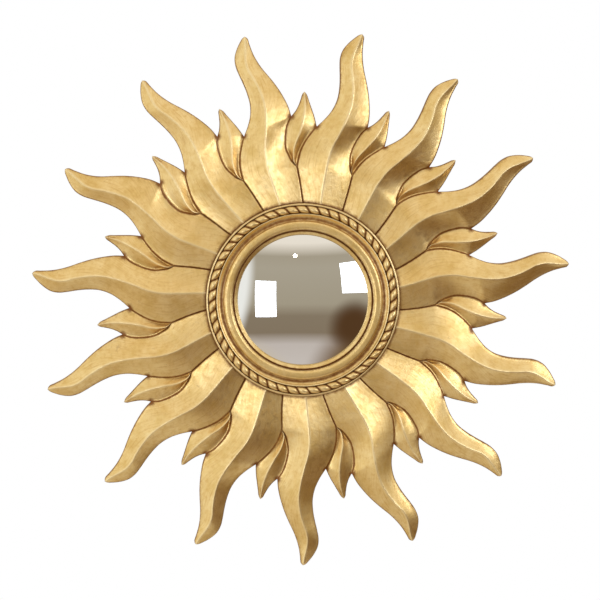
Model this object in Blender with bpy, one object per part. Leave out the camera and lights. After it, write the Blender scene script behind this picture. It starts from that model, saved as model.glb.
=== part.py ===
"""A gilt sunburst wall mirror: fifteen long wavy rays and fifteen short ones round a small convex glass.

Blender 4.5, metres, +Z up. The mirror hangs on a wall behind it: its flat back is the plane y = 0, the
front faces -Y, and the origin is the centre of the back. Heights below are measured from the wall.
"""
import math

import bmesh
import bpy
import numpy as np
from mathutils import Matrix

MM = 0.001
CLEARANCE = 0.3 * MM        # left between pieces that touch

# The convex glass
GLASS_RADIUS = 90 * MM
GLASS_THICKNESS = 3 * MM
GLASS_CURVE_RADIUS = 266 * MM     # the sphere that its front face is part of
GLASS_EDGE_HEIGHT = 19.7 * MM     # its front face at the rim
GLASS_LAP = 5.6 * MM              # how far the ring's lip covers the rim
GLASS_SIDES = 40

# The ring moulding: widths of its members, from the glass outwards
SIGHT_LIP_WIDTH = 3.9 * MM
QUIRK_WIDTH = 1.8 * MM
ROUND_WIDTH = 12.4 * MM
COVE_WIDTH = 4.4 * MM
FILLET_WIDTH = 5.0 * MM
ROPE_WIDTH = 9.0 * MM
OUTER_LIP_WIDTH = 3.9 * MM
RING_STRANDS = 54
ROPE_SHOULDER = 0.33              # how far out from its middle the rope's side rows lie, in rope widths
STRAND_SLANT = math.radians(54)   # of a strand's groove to the ring's run

# The ring moulding: heights of its members
SIGHT_LIP_HEIGHT = 25.6 * MM
SIGHT_LIP_EDGE_HEIGHT = 22.4 * MM
QUIRK_HEIGHT = 24.2 * MM
ROUND_HEIGHT = 32.2 * MM
COVE_HEIGHT = 25.8 * MM
FILLET_HEIGHT = 28.2 * MM
ROPE_BED_HEIGHT = 24.8 * MM
ROPE_HEIGHT = 31.0 * MM
STRAND_GROOVE_DEPTH = 2.6 * MM
OUTER_LIP_HEIGHT = 27.2 * MM

# Where the ring's corners lie, in shares of a member's own width; the round's arc in half turns
OUTER_LIP_BEVEL, OUTER_LIP_DROP = 0.35, 0.25
FILLET_OUTER_CORNER, FILLET_INNER_CORNER = 0.3, 0.75
COVE_CORNER = 0.3
SIGHT_LIP_BEVEL, SIGHT_LIP_DROP = 0.15, 0.5
ROUND_START, ROUND_ARC, ROUND_PIECES = 0.06, 0.88, 4

# The sunburst
RAY_COUNT = 15
SUNBURST_RADIUS = 350 * MM
FIRST_RAY_BEARING = math.radians(6)
OPENING_CLEARANCE = 1.0 * MM      # round the glass, which goes in from behind
SEAT_HEIGHT = 12 * MM             # the turned recess that the ring sits in
RIDGE_FOOT_HEIGHT = 24 * MM
RIDGE_MIDDLE_HEIGHT = 27 * MM
RIDGE_TIP_HEIGHT = 10 * MM
EDGE_FOOT_HEIGHT = 18 * MM
EDGE_MIDDLE_HEIGHT = 13.5 * MM
EDGE_TIP_HEIGHT = 8.5 * MM
SHORT_RIDGE_FOOT_HEIGHT = 16 * MM
SHORT_RIDGE_MIDDLE_HEIGHT = 19 * MM
SHORT_RIDGE_TIP_HEIGHT = 10 * MM
SHORT_EDGE_FOOT_HEIGHT = 14.5 * MM
SHORT_EDGE_MIDDLE_HEIGHT = 12 * MM
SHORT_EDGE_TIP_HEIGHT = 8.5 * MM
VALLEY_FOOT_HEIGHT = 13 * MM
VALLEY_END_HEIGHT = 9 * MM
EDGE_ROUNDING = 1.3 * MM          # width and drop of a ray's rounded edge
FACE_HOLLOW = 0.6 * MM            # dip of a ray's face between its ridge and its edge
LONG_RIDGE_CREST, LONG_EDGE_CREST = 0.45, 0.5      # how far out along a ray its heights reach their middle
SHORT_RIDGE_CREST, SHORT_EDGE_CREST = 0.38, 0.4
SHORT_RAY_REACH = 0.63            # a short ray's tip, as a share of a long ray's length
SHOULDER_SHARE = 0.4              # the most of a face's width that its rounded edge takes
WIDE_FACE = 12                    # a face this wide, in edge roundings, dips by the whole FACE_HOLLOW
FOOT_CHORDS = 7                   # facets of a long ray's foot to one pitch
RIDGE_STEPS = 200

# Carved lines, each point as (percent of a ray's length out from the ring, percent of the pitch between
# long rays, anticlockwise from the long ray's own bearing). Each valley lies on a long ray's clockwise side.
VALLEY_STEM = ((0, -50.4), (10.5, -44.6), (20.6, -39.2))
VALLEY_BESIDE_LONG = ((20.6, -39.2), (22.9, -32.6), (26.9, -27.5), (31.5, -24.0), (36.3, -24.3),
                      (41.1, -26.4), (45.4, -29.4), (49.6, -34.8))
VALLEY_BESIDE_NEXT = ((20.6, -39.2), (24.2, -41.5), (28.4, -44.7), (33.2, -50.6), (37.7, -57.7),
                      (41.2, -63.7), (43.7, -67.9))
LONG_OUTER_EDGE = ((43.7, 32.1), (48.8, 22.4), (54.2, 15.5), (61.0, 11.6), (67.6, 11.5), (74.4, 13.1),
                   (79.4, 14.7), (84.3, 15.6), (88.7, 14.5), (93.5, 10.3), (97.2, 5.6), (99.4, 2.2), (100, 0.2))
LONG_INNER_EDGE = ((49.6, -34.8), (54.9, -32.3), (61.6, -27.3), (68.0, -21.7), (74.5, -15.3),
                   (79.7, -10.2), (84.9, -6.4), (90.2, -3.9), (95.6, -2.6), (98.9, -1.8), (100, 0.2))
LONG_RIDGE = ((0, 6.7), (17.4, 10.4), (24.5, 10.6), (32, 8.2), (42.2, 0.8), (52.9, -4.3), (59.1, -5.3),
              (66.8, -3.5), (75.1, 0.6), (80.5, 3.9), (85.3, 4.5), (90.5, 2.9), (95.1, 1.1), (100, 0.2))
SHORT_OUTER_EDGE = ((49.6, -34.8), (52.2, -40.0), (55.5, -44.2), (59.4, -47.3), (62.3, -49.5), (63.2, -51.4))
SHORT_INNER_EDGE = ((43.7, -67.9), (49.4, -63.9), (53.9, -60.1), (58.5, -56.4), (61.9, -53.7), (63.2, -51.4))
SHORT_RIDGE = ((20.6, -39.2), (24.1, -33.6), (27.8, -34.1), (32.8, -37.7), (37.9, -43.4), (43.7, -48.1),
               (49.4, -50.9), (55.9, -52.2), (63.2, -51.4))
STEM_PIECES, VALLEY_PIECES, LONG_FREE_PIECES, SHORT_FREE_PIECES = 2, 4, 9, 4

# The carver's hand: how far each ray leans from its even place, in degrees, and reaches past its even
# length, in percent of that length
LONG_LEANS = (1.4, 1.4, 0.8, -0.7, 0.4, 0.1, 1.1, 0.3, 1.3, 0.6, 0.4, 0.1, 0.4, 0.2, -0.9)
SHORT_LEANS = (0.9, 1.0, 0.6, -0.3, -0.2, -0.1, -1.4, 0.6, 1.3, 0.2, 0.2, 0.4, 0, 0.4, -0.4)
LONG_REACHES = (0, 0, -1.3, -0.4, -2.2, -0.9, -0.9, 0, 0, 0, 0, 0, 0, 0, 0)

# The back
BOARD_CLEARANCE = 0.6 * MM
BOARD_SIDES = 40
PLATE_LENGTH, PLATE_WIDTH, PLATE_THICKNESS = 46 * MM, 16 * MM, 1.5 * MM
PLATE_DISTANCE = 134 * MM         # of its middle above the mirror's centre
PLATE_END_SIDES = 8
KEYHOLE_HEAD_RADIUS, KEYHOLE_SLOT_RADIUS, KEYHOLE_SLOT_LENGTH = 4.5 * MM, 2.2 * MM, 6 * MM
POCKET_DEPTH = 6 * MM             # of the hollow behind the keyhole, for the wall screw's head
POCKET_LENGTH, POCKET_WIDTH = 20 * MM, 11 * MM
SCREW_INSET = 6 * MM              # of a screw from its end of the plate
SCREW_RADIUS, SCREW_HEAD_RADIUS, SCREW_HEAD_THICKNESS = 1.6 * MM, 3.4 * MM, 0.8 * MM
SCREW_LENGTH = 8 * MM
SCREW_SIDES = 16

PITCH = 2 * math.pi / RAY_COUNT
SCREW_SPACING = PLATE_LENGTH - 2 * SCREW_INSET
SIGHT_RADIUS = GLASS_RADIUS - GLASS_LAP
RING_RADIUS = SIGHT_RADIUS + (SIGHT_LIP_WIDTH + QUIRK_WIDTH + ROUND_WIDTH + COVE_WIDTH + FILLET_WIDTH
                              + ROPE_WIDTH + OUTER_LIP_WIDTH)
# A long ray's foot has few facets, so their middles lie a little inside the recess's own radius
RECESS_RADIUS = (RING_RADIUS + CLEARANCE) / math.cos(PITCH / FOOT_CHORDS)
OPENING_RADIUS = (GLASS_RADIUS + OPENING_CLEARANCE) / math.cos(PITCH / FOOT_CHORDS)
REBATE_RADIUS = (GLASS_RADIUS + BOARD_CLEARANCE) / math.cos(math.pi / RING_STRANDS)


def material(name, colour, metallic, roughness):
    """A Principled material."""
    made = bpy.data.materials.new(name)
    made.use_nodes = True
    shader = made.node_tree.nodes["Principled BSDF"]
    shader.inputs["Base Color"].default_value = (*colour, 1)
    shader.inputs["Metallic"].default_value = metallic
    shader.inputs["Roughness"].default_value = roughness
    return made


def finish(name, bm, made_of, smooth_under=math.radians(30)):
    """Make the mesh an object with outward faces, its material, and smooth shading on its round faces."""
    bmesh.ops.recalc_face_normals(bm, faces=bm.faces)
    mesh = bpy.data.meshes.new(name)
    bm.to_mesh(mesh)
    bm.free()
    mesh.materials.append(made_of)
    mesh.shade_smooth()
    mesh.set_sharp_from_angle(angle=smooth_under)
    piece = bpy.data.objects.new(name, mesh)
    bpy.context.collection.objects.link(piece)
    return piece


def at(radius, bearing, height):
    """A point at a radius and bearing round the mirror's axis, and a height from the wall."""
    return radius * math.cos(bearing), -height, radius * math.sin(bearing)


def ray_point(reach, turn):
    """A carved line's point on the ray's own plane, with its bearing along +x."""
    radius = RECESS_RADIUS + reach / 100 * (SUNBURST_RADIUS - RECESS_RADIUS)
    bearing = turn / 100 * PITCH
    return radius * math.cos(bearing), radius * math.sin(bearing)


def curve_through(line, pieces, fine_steps=400):
    """Points that part one smooth curve through a carved line's points into pieces of equal length."""
    points = np.array([ray_point(*point) for point in line])
    knots = np.concatenate([[0], np.cumsum(np.linalg.norm(np.diff(points, axis=0), axis=1))])
    slopes = np.gradient(points, knots, axis=0)
    along = np.linspace(0, knots[-1], fine_steps)
    first = np.clip(np.searchsorted(knots, along, side="right") - 1, 0, len(knots) - 2)
    span = (knots[first + 1] - knots[first])[:, None]
    t = (along - knots[first])[:, None] / span
    curve = ((2 * t**3 - 3 * t**2 + 1) * points[first] + (t**3 - 2 * t**2 + t) * span * slopes[first]
             + (3 * t**2 - 2 * t**3) * points[first + 1] + (t**3 - t**2) * span * slopes[first + 1])
    run = np.concatenate([[0], np.cumsum(np.linalg.norm(np.diff(curve, axis=0), axis=1))])
    marks = np.linspace(0, run[-1], pieces + 1)
    return np.stack([np.interp(marks, run, curve[:, axis]) for axis in (0, 1)], axis=1)


def turned(points, rays):
    """The points turned on by a number of long rays' pitches."""
    angle = rays * PITCH
    cos, sin = math.cos(angle), math.sin(angle)
    return np.stack([points[:, 0] * cos - points[:, 1] * sin, points[:, 0] * sin + points[:, 1] * cos], axis=1)


def eased(share):
    """A share from 0 to 1 with a soft start and end."""
    share = min(max(share, 0), 1)
    return share * share * (3 - 2 * share)


def swept_height(radius, foot, middle, tip, middle_reach, tip_reach):
    """A height that runs from a ray's foot to its middle and down to its tip, by the radius."""
    reach = (radius - RECESS_RADIUS) / (SUNBURST_RADIUS - RECESS_RADIUS)
    if reach < middle_reach:
        return foot + (middle - foot) * eased(reach / middle_reach)
    return middle + (tip - middle) * max(reach - middle_reach, 0) ** 1.5 / (tip_reach - middle_reach) ** 1.5


def between_leans(bearing):
    """The lean and the reach of the carver's hand at a bearing, eased from one ray to the next."""
    place = ((bearing - FIRST_RAY_BEARING) / PITCH) % RAY_COUNT
    half_steps = place * 2
    low = int(half_steps)
    blend = eased(half_steps - low)
    leans, reaches = [], []
    for step in (low, low + 1):
        ray = math.ceil(step / 2) % RAY_COUNT
        is_long = step % 2 == 0
        leans.append((LONG_LEANS if is_long else SHORT_LEANS)[ray])
        reaches.append(LONG_REACHES[ray] if is_long else 0)
    lean = leans[0] + (leans[1] - leans[0]) * blend
    reach = reaches[0] + (reaches[1] - reaches[0]) * blend
    return math.radians(lean), reach / 100 * (SUNBURST_RADIUS - RECESS_RADIUS)


def hand_carved(x, y):
    """Where the carver's hand puts a point of the even pattern, as a radius and a bearing."""
    radius, bearing = math.hypot(x, y), math.atan2(y, x)
    lean, reach = between_leans(bearing)
    outwards = (radius - RECESS_RADIUS) / (SUNBURST_RADIUS - RECESS_RADIUS)
    return radius + reach * eased(outwards), bearing + lean * eased(4 * outwards)


class Carving:
    """The sunburst's front, whose lines share their points where two rays meet."""

    def __init__(self, bm):
        self.bm = bm
        self.made = {}

    def vertex(self, xy, height):
        """The vertex at a point of the even pattern: one vertex, however often it is asked for."""
        x, y = xy
        key = (round(x / MM, 3), round(y / MM, 3), round(height / MM, 3))
        if key not in self.made:
            radius, bearing = hand_carved(x, y)
            self.made[key] = self.bm.verts.new(at(radius, bearing, height))
        return self.made[key]

    def skin(self, lines):
        """Faces between neighbouring lines of vertices, with no face where two points are one."""
        for left, right in zip(lines, lines[1:]):
            for a, b, c, d in zip(left, left[1:], right[1:], right):
                corners = list(dict.fromkeys((a, b, c, d)))
                if len(corners) > 2:
                    self.bm.faces.new(corners)


def valley_lines(ray):
    """The valley on a long ray's clockwise side: its stem, and its two arms round the short ray."""
    lines = (curve_through(VALLEY_STEM, STEM_PIECES), curve_through(VALLEY_BESIDE_LONG, VALLEY_PIECES),
             curve_through(VALLEY_BESIDE_NEXT, VALLEY_PIECES))
    return [turned(line, ray) for line in lines]


def floor_height(radius):
    """A valley's floor, which falls from the ring to the valley's open end."""
    return swept_height(radius, VALLEY_FOOT_HEIGHT, VALLEY_END_HEIGHT, VALLEY_END_HEIGHT, LONG_EDGE_CREST, 1)


def carve_ray(carving, left, right, ridge, grooved, ridge_height, edge_height, tip_height, with_middle):
    """Skin one ray between its two boundaries. grooved is how many of their first points are valley floor."""
    ridge_radii = np.linalg.norm(ridge, axis=1)
    ridge_bearings = np.unwrap(np.arctan2(ridge[:, 1], ridge[:, 0]))
    order = np.argsort(ridge_radii)
    last = len(left) - 1
    rows = []
    for step, (a, b) in enumerate(zip(left, right)):
        radius = (np.linalg.norm(a) + np.linalg.norm(b)) / 2
        if step == last:
            top = carving.vertex(a * (1 - 2 * EDGE_ROUNDING / radius), tip_height)
            end = carving.vertex(a, tip_height - EDGE_ROUNDING)
            rows.append([end] + [top] * (5 if with_middle else 3) + [end])
            continue
        low_a, low_b = ([floor_height(np.linalg.norm(p)) for p in (a, b)] if step < grooved else
                        [edge_height(radius) - EDGE_ROUNDING] * 2)
        ends = [carving.vertex(a, low_a), carving.vertex(b, low_b)]
        if np.allclose(a, b):
            rows.append([ends[0]] * (7 if with_middle else 5))
            continue
        bearing = np.interp(radius, ridge_radii[order], ridge_bearings[order])
        top = np.array((radius * math.cos(bearing), radius * math.sin(bearing)))
        row = [carving.vertex(top, ridge_height(radius))]
        for side, (p, end) in enumerate(((a, ends[0]), (b, ends[1]))):
            width = np.linalg.norm(top - p)
            shoulder = p + (top - p) * min(EDGE_ROUNDING, SHOULDER_SHARE * width) / width
            middle = (top + shoulder) / 2
            if radius < RECESS_RADIUS * 1.001:
                shoulder, middle = (q * RECESS_RADIUS / np.linalg.norm(q) for q in (shoulder, middle))
            high = edge_height(radius)
            half = [carving.vertex(shoulder, high), end]
            if with_middle:
                hollow = FACE_HOLLOW * eased(width / (WIDE_FACE * EDGE_ROUNDING))
                half.insert(0, carving.vertex(middle, (ridge_height(radius) + high) / 2 - hollow))
            row = row + half if side else half[::-1] + row
        rows.append(row)
    carving.skin([list(line) for line in zip(*rows)])


def long_ray(carving, ray):
    """One long ray, from the ring to its tip."""
    stem, beside, _ = valley_lines(ray)
    next_stem, _, beside_next = valley_lines(ray + 1)
    inner_edge = turned(curve_through(LONG_INNER_EDGE, LONG_FREE_PIECES), ray)
    outer_edge = turned(curve_through(LONG_OUTER_EDGE, LONG_FREE_PIECES), ray)
    left = np.concatenate([next_stem, beside_next[1:], outer_edge[1:]])
    right = np.concatenate([stem, beside[1:], inner_edge[1:]])
    ridge = turned(curve_through(LONG_RIDGE, RIDGE_STEPS), ray)
    carve_ray(carving, left, right, ridge, STEM_PIECES + VALLEY_PIECES + 1,
              lambda r: swept_height(r, RIDGE_FOOT_HEIGHT, RIDGE_MIDDLE_HEIGHT, RIDGE_TIP_HEIGHT,
                                     LONG_RIDGE_CREST, 1),
              lambda r: swept_height(r, EDGE_FOOT_HEIGHT, EDGE_MIDDLE_HEIGHT, EDGE_TIP_HEIGHT,
                                     LONG_EDGE_CREST, 1),
              RIDGE_TIP_HEIGHT, True)


def short_ray(carving, ray):
    """The short ray on a long ray's clockwise side, leaf-shaped, lower than the long rays."""
    _, beside, beside_next = valley_lines(ray)
    outer_edge = turned(curve_through(SHORT_OUTER_EDGE, SHORT_FREE_PIECES), ray)
    inner_edge = turned(curve_through(SHORT_INNER_EDGE, SHORT_FREE_PIECES), ray)
    left = np.concatenate([beside, outer_edge[1:]])
    right = np.concatenate([beside_next, inner_edge[1:]])
    ridge = turned(curve_through(SHORT_RIDGE, RIDGE_STEPS), ray)
    carve_ray(carving, left, right, ridge, VALLEY_PIECES + 1,
              lambda r: swept_height(r, SHORT_RIDGE_FOOT_HEIGHT, SHORT_RIDGE_MIDDLE_HEIGHT,
                                     SHORT_RIDGE_TIP_HEIGHT, SHORT_RIDGE_CREST, SHORT_RAY_REACH),
              lambda r: swept_height(r, SHORT_EDGE_FOOT_HEIGHT, SHORT_EDGE_MIDDLE_HEIGHT,
                                     SHORT_EDGE_TIP_HEIGHT, SHORT_EDGE_CREST, SHORT_RAY_REACH),
              SHORT_RIDGE_TIP_HEIGHT, False)


def drop_edges(bm, edges, height):
    """Pull the edges' copies straight back to a height from the wall, and give the new edges."""
    made = bmesh.ops.extrude_edge_only(bm, edges=edges)["geom"]
    for vertex in (part for part in made if isinstance(part, bmesh.types.BMVert)):
        vertex.co.y = -height
    return [part for part in made if isinstance(part, bmesh.types.BMEdge) and all(
        math.isclose(vertex.co.y, -height, abs_tol=1e-7) for vertex in part.verts)]


def sunburst(gilding, cutters):
    """The whole sunburst: carved front, cut edges, recess, opening and flat back."""
    bm = bmesh.new()
    carving = Carving(bm)
    for ray in range(RAY_COUNT):
        carved_ray = ray + FIRST_RAY_BEARING / PITCH
        long_ray(carving, carved_ray)
        short_ray(carving, carved_ray)
    border = [edge for edge in bm.edges if edge.is_boundary]
    inner = [edge for edge in border
             if all(math.hypot(v.co.x, v.co.z) < RECESS_RADIUS + 0.01 * MM for v in edge.verts)]
    inner_set = set(inner)
    outer = [edge for edge in border if edge not in inner_set]
    back_outline = drop_edges(bm, outer, 0)
    seat_edge = drop_edges(bm, inner, SEAT_HEIGHT)
    made = bmesh.ops.extrude_edge_only(bm, edges=seat_edge)["geom"]
    for vertex in (part for part in made if isinstance(part, bmesh.types.BMVert)):
        vertex.co.x *= OPENING_RADIUS / RECESS_RADIUS
        vertex.co.z *= OPENING_RADIUS / RECESS_RADIUS
    opening_edge = [part for part in made if isinstance(part, bmesh.types.BMEdge) and all(
        math.hypot(v.co.x, v.co.z) < (OPENING_RADIUS + RECESS_RADIUS) / 2 for v in part.verts)]
    back_opening = drop_edges(bm, opening_edge, 0)
    bmesh.ops.triangle_fill(bm, use_beauty=True, edges=back_outline + back_opening)
    piece = finish("sunburst_frame", bm, gilding)
    for cutter in cutters:
        cut = piece.modifiers.new(cutter.name, "BOOLEAN")
        cut.operation = "DIFFERENCE"
        cut.object = cutter
    return piece


def ring_sections():
    """The ring's section as (radius, height), in two parts: under and outside the rope, then inside it."""
    lip_inner = RING_RADIUS - OUTER_LIP_WIDTH
    rope_inner = lip_inner - ROPE_WIDTH
    fillet_inner = rope_inner - FILLET_WIDTH
    cove_inner = fillet_inner - COVE_WIDTH
    round_inner = cove_inner - ROUND_WIDTH
    lip_outer = round_inner - QUIRK_WIDTH
    ring_foot = SEAT_HEIGHT + CLEARANCE
    under_lip = GLASS_EDGE_HEIGHT + 2 * CLEARANCE
    outside = [(REBATE_RADIUS, under_lip), (REBATE_RADIUS, ring_foot), (RING_RADIUS, ring_foot),
               (RING_RADIUS, OUTER_LIP_HEIGHT - OUTER_LIP_DROP * OUTER_LIP_WIDTH),
               (RING_RADIUS - OUTER_LIP_BEVEL * OUTER_LIP_WIDTH, OUTER_LIP_HEIGHT), (lip_inner, ROPE_BED_HEIGHT)]
    inside = [(rope_inner, ROPE_BED_HEIGHT),
              (rope_inner - FILLET_OUTER_CORNER * FILLET_WIDTH, FILLET_HEIGHT),
              (rope_inner - FILLET_INNER_CORNER * FILLET_WIDTH, FILLET_HEIGHT),
              (fillet_inner - COVE_CORNER * COVE_WIDTH, COVE_HEIGHT)]
    base = max(COVE_HEIGHT, QUIRK_HEIGHT)
    for step in range(ROUND_PIECES + 1):
        turn = math.pi * (ROUND_START + ROUND_ARC * step / ROUND_PIECES)
        inside.append(((cove_inner + round_inner) / 2 + ROUND_WIDTH / 2 * math.cos(turn),
                       base + (ROUND_HEIGHT - base) * math.sin(turn)))
    inside += [(lip_outer + QUIRK_WIDTH / 2, QUIRK_HEIGHT), (lip_outer, SIGHT_LIP_HEIGHT),
               (SIGHT_RADIUS + SIGHT_LIP_BEVEL * SIGHT_LIP_WIDTH,
                SIGHT_LIP_EDGE_HEIGHT + SIGHT_LIP_DROP * SIGHT_LIP_WIDTH),
               (SIGHT_RADIUS, SIGHT_LIP_EDGE_HEIGHT)]
    return outside, inside


def turned_row(bm, radius, height, count, twist=0.0):
    """A ring of vertices."""
    return [bm.verts.new(at(radius, 2 * math.pi * step / count + twist, height)) for step in range(count)]


def join_rows(bm, first, second):
    """Faces between two closed rows, of which one may have several vertices to each of the other's."""
    if len(first) > len(second):
        first, second = second, first
    ratio = len(second) // len(first)
    for step, vertex in enumerate(first):
        following = first[(step + 1) % len(first)]
        fan = [second[(step * ratio + i) % len(second)] for i in range(ratio + 1)]
        if ratio == 1:
            bm.faces.new((vertex, following, fan[1], fan[0]))
            continue
        for i in range(ratio):
            bm.faces.new((vertex, fan[i + 1], fan[i]))
        bm.faces.new((vertex, following, fan[-1]))


def rope_rows(bm):
    """The twisted rope's three rows, outermost first: each strand is a groove and two crown points."""
    middle = RING_RADIUS - OUTER_LIP_WIDTH - ROPE_WIDTH / 2
    rows = []
    for across in (ROPE_SHOULDER, 0, -ROPE_SHOULDER):
        radius = middle + across * ROPE_WIDTH
        crown = ROPE_BED_HEIGHT + (ROPE_HEIGHT - ROPE_BED_HEIGHT) * math.sqrt(1 - (2 * across) ** 2)
        twist = across * ROPE_WIDTH / math.tan(STRAND_SLANT) / middle
        row = turned_row(bm, radius, crown, 3 * RING_STRANDS, twist)
        for vertex in row[::3]:
            vertex.co.y += STRAND_GROOVE_DEPTH
        rows.append(row)
    return rows


def ring(gilding):
    """The ring moulding with its twisted rope."""
    bm = bmesh.new()
    outside, inside = ring_sections()
    rows = [turned_row(bm, radius, height, RING_STRANDS) for radius, height in outside]
    rows += rope_rows(bm)
    rows += [turned_row(bm, radius, height, RING_STRANDS) for radius, height in inside]
    for first, second in zip(rows, rows[1:] + rows[:1]):
        join_rows(bm, first, second)
    return finish("rope_ring", bm, gilding)


def glass(silvered):
    """The convex glass, a shallow bowl of even thickness."""
    bm = bmesh.new()
    rise = [math.sqrt(GLASS_CURVE_RADIUS**2 - (GLASS_RADIUS * share) ** 2)
            - math.sqrt(GLASS_CURVE_RADIUS**2 - GLASS_RADIUS**2) for share in (1, 0.75, 0.5, 0.25, 0)]
    faces = []
    for thickness in (0, GLASS_THICKNESS):
        rows = [turned_row(bm, GLASS_RADIUS * share, GLASS_EDGE_HEIGHT + rise[i] - thickness, GLASS_SIDES)
                for i, share in enumerate((1, 0.75, 0.5, 0.25))]
        for first, second in zip(rows, rows[1:]):
            join_rows(bm, first, second)
        middle = bm.verts.new((0, -(GLASS_EDGE_HEIGHT + rise[-1] - thickness), 0))
        for vertex, following in zip(rows[-1], rows[-1][1:] + rows[-1][:1]):
            bm.faces.new((vertex, following, middle))
        faces.append(rows[0])
    join_rows(bm, *faces)
    return finish("mirror_glass", bm, silvered)


def disc(bm, radius, low, high, sides, centre=(0, 0)):
    """A round block between two heights from the wall."""
    made = bmesh.ops.create_cone(bm, cap_ends=True, segments=sides, radius1=radius, radius2=radius,
                                 depth=high - low)["verts"]
    bmesh.ops.rotate(bm, verts=made, cent=(0, 0, 0), matrix=Matrix.Rotation(math.pi / 2, 3, "X"))
    bmesh.ops.translate(bm, verts=made, vec=(centre[0], -(low + high) / 2, centre[1]))
    return made


def board(timber):
    """The round board behind the glass, flush with the back."""
    bm = bmesh.new()
    disc(bm, GLASS_RADIUS, 0, GLASS_EDGE_HEIGHT - GLASS_THICKNESS - CLEARANCE, BOARD_SIDES)
    return finish("back_board", bm, timber)


def slot_outline(length, radius, sides):
    """A flat outline with round ends, as (x, z), about its middle."""
    points = []
    for end in (1, -1):
        for step in range(sides + 1):
            turn = math.pi * (step / sides - 0.5)
            points.append((end * (length / 2 + radius * math.cos(turn)), end * radius * math.sin(turn)))
    return points


def keyhole_outline():
    """A round hole with a narrower slot running up from it, as (x, z), about the plate's middle."""
    half_slot = math.asin(KEYHOLE_SLOT_RADIUS / KEYHOLE_HEAD_RADIUS)
    points = []
    for step in range(PLATE_END_SIDES + 1):
        turn = math.pi / 2 + half_slot + (2 * math.pi - 2 * half_slot) * step / PLATE_END_SIDES
        points.append((KEYHOLE_HEAD_RADIUS * math.cos(turn), KEYHOLE_HEAD_RADIUS * math.sin(turn)))
    for step in range(PLATE_END_SIDES // 2 + 1):
        turn = math.pi * step / (PLATE_END_SIDES // 2)
        points.append((KEYHOLE_SLOT_RADIUS * math.cos(turn),
                       KEYHOLE_SLOT_LENGTH + KEYHOLE_SLOT_RADIUS * math.sin(turn)))
    return [(x, z - KEYHOLE_SLOT_LENGTH / 2) for x, z in points]


def block(bm, outline, low, high):
    """An outline at the hanger's place, made a block between two heights from the wall."""
    face = bm.faces.new([bm.verts.new((x, -low, z + PLATE_DISTANCE)) for x, z in outline])
    made = bmesh.ops.extrude_face_region(bm, geom=[face])["geom"]
    verts = [part for part in made if isinstance(part, bmesh.types.BMVert)]
    bmesh.ops.translate(bm, verts=verts, vec=(0, low - high, 0))


def cutter(name, build):
    """A hidden solid that only cuts others."""
    bm = bmesh.new()
    build(bm)
    piece = finish(name, bm, bpy.data.materials[0])
    piece.hide_render = True
    piece.display_type = "WIRE"
    return piece


def screw_places():
    """The two screws' places beside the keyhole."""
    return {"left": (-SCREW_SPACING / 2, PLATE_DISTANCE), "right": (SCREW_SPACING / 2, PLATE_DISTANCE)}


def union(piece, name, build):
    """Join a second shape to a piece."""
    other = cutter(name, build)
    joined = piece.modifiers.new(name, "BOOLEAN")
    joined.operation = "UNION"
    joined.object = other


def hanger_cutters():
    """The pocket for the plate, the hollow behind its keyhole, and the screws' holes."""
    plate_room = cutter("plate_pocket_cutter", lambda bm: block(
        bm, slot_outline(PLATE_LENGTH - PLATE_WIDTH, PLATE_WIDTH / 2 + CLEARANCE, PLATE_END_SIDES),
        -CLEARANCE, SCREW_HEAD_THICKNESS + PLATE_THICKNESS + CLEARANCE))
    hollow = cutter("keyhole_hollow_cutter", lambda bm: block(
        bm, slot_outline(POCKET_LENGTH - POCKET_WIDTH, POCKET_WIDTH / 2, PLATE_END_SIDES),
        -CLEARANCE, POCKET_DEPTH))
    holes = [cutter(f"screw_hole_cutter_{side}", lambda bm: disc(
        bm, SCREW_RADIUS + CLEARANCE, 0, SCREW_HEAD_THICKNESS + PLATE_THICKNESS + SCREW_LENGTH + CLEARANCE,
        SCREW_SIDES, place)) for side, place in screw_places().items()]
    return [plate_room, hollow, *holes]


def hanger(steel):
    """The keyhole plate and its two screws, all behind the wall plane's front side."""
    bm = bmesh.new()
    outline = slot_outline(PLATE_LENGTH - PLATE_WIDTH, PLATE_WIDTH / 2, PLATE_END_SIDES)
    block(bm, outline, SCREW_HEAD_THICKNESS, SCREW_HEAD_THICKNESS + PLATE_THICKNESS)
    plate = finish("hanger_plate", bm, steel)
    reach = SCREW_HEAD_THICKNESS + PLATE_THICKNESS + CLEARANCE
    holes = [cutter("keyhole_cutter", lambda bm: block(bm, keyhole_outline(), 0, reach))]
    for side, place in screw_places().items():
        holes.append(cutter(f"plate_hole_cutter_{side}", lambda bm: disc(
            bm, SCREW_RADIUS + CLEARANCE, 0, reach, SCREW_SIDES, place)))
    for hole in holes:
        cut = plate.modifiers.new(hole.name, "BOOLEAN")
        cut.object = hole
    for side, place in screw_places().items():
        bm = bmesh.new()
        disc(bm, SCREW_HEAD_RADIUS, 0, SCREW_HEAD_THICKNESS - CLEARANCE, SCREW_SIDES, place)
        screw = finish(f"hanger_screw_{side}", bm, steel)
        union(screw, f"screw_shank_{side}", lambda bm: disc(
            bm, SCREW_RADIUS, SCREW_HEAD_THICKNESS / 2,
            SCREW_HEAD_THICKNESS + PLATE_THICKNESS + SCREW_LENGTH, SCREW_SIDES, place))


def main():
    for old in list(bpy.data.objects):
        bpy.data.objects.remove(old)
    gilding = material("gilded_wood", (0.63, 0.43, 0.16), 0.85, 0.38)
    silvered = material("silvered_glass", (0.9, 0.9, 0.9), 1.0, 0.02)
    timber = material("back_board_timber", (0.35, 0.24, 0.14), 0.0, 0.7)
    steel = material("zinc_plated_steel", (0.55, 0.55, 0.52), 1.0, 0.35)
    sunburst(gilding, hanger_cutters())
    ring(gilding)
    glass(silvered)
    board(timber)
    hanger(steel)


main()
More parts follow.
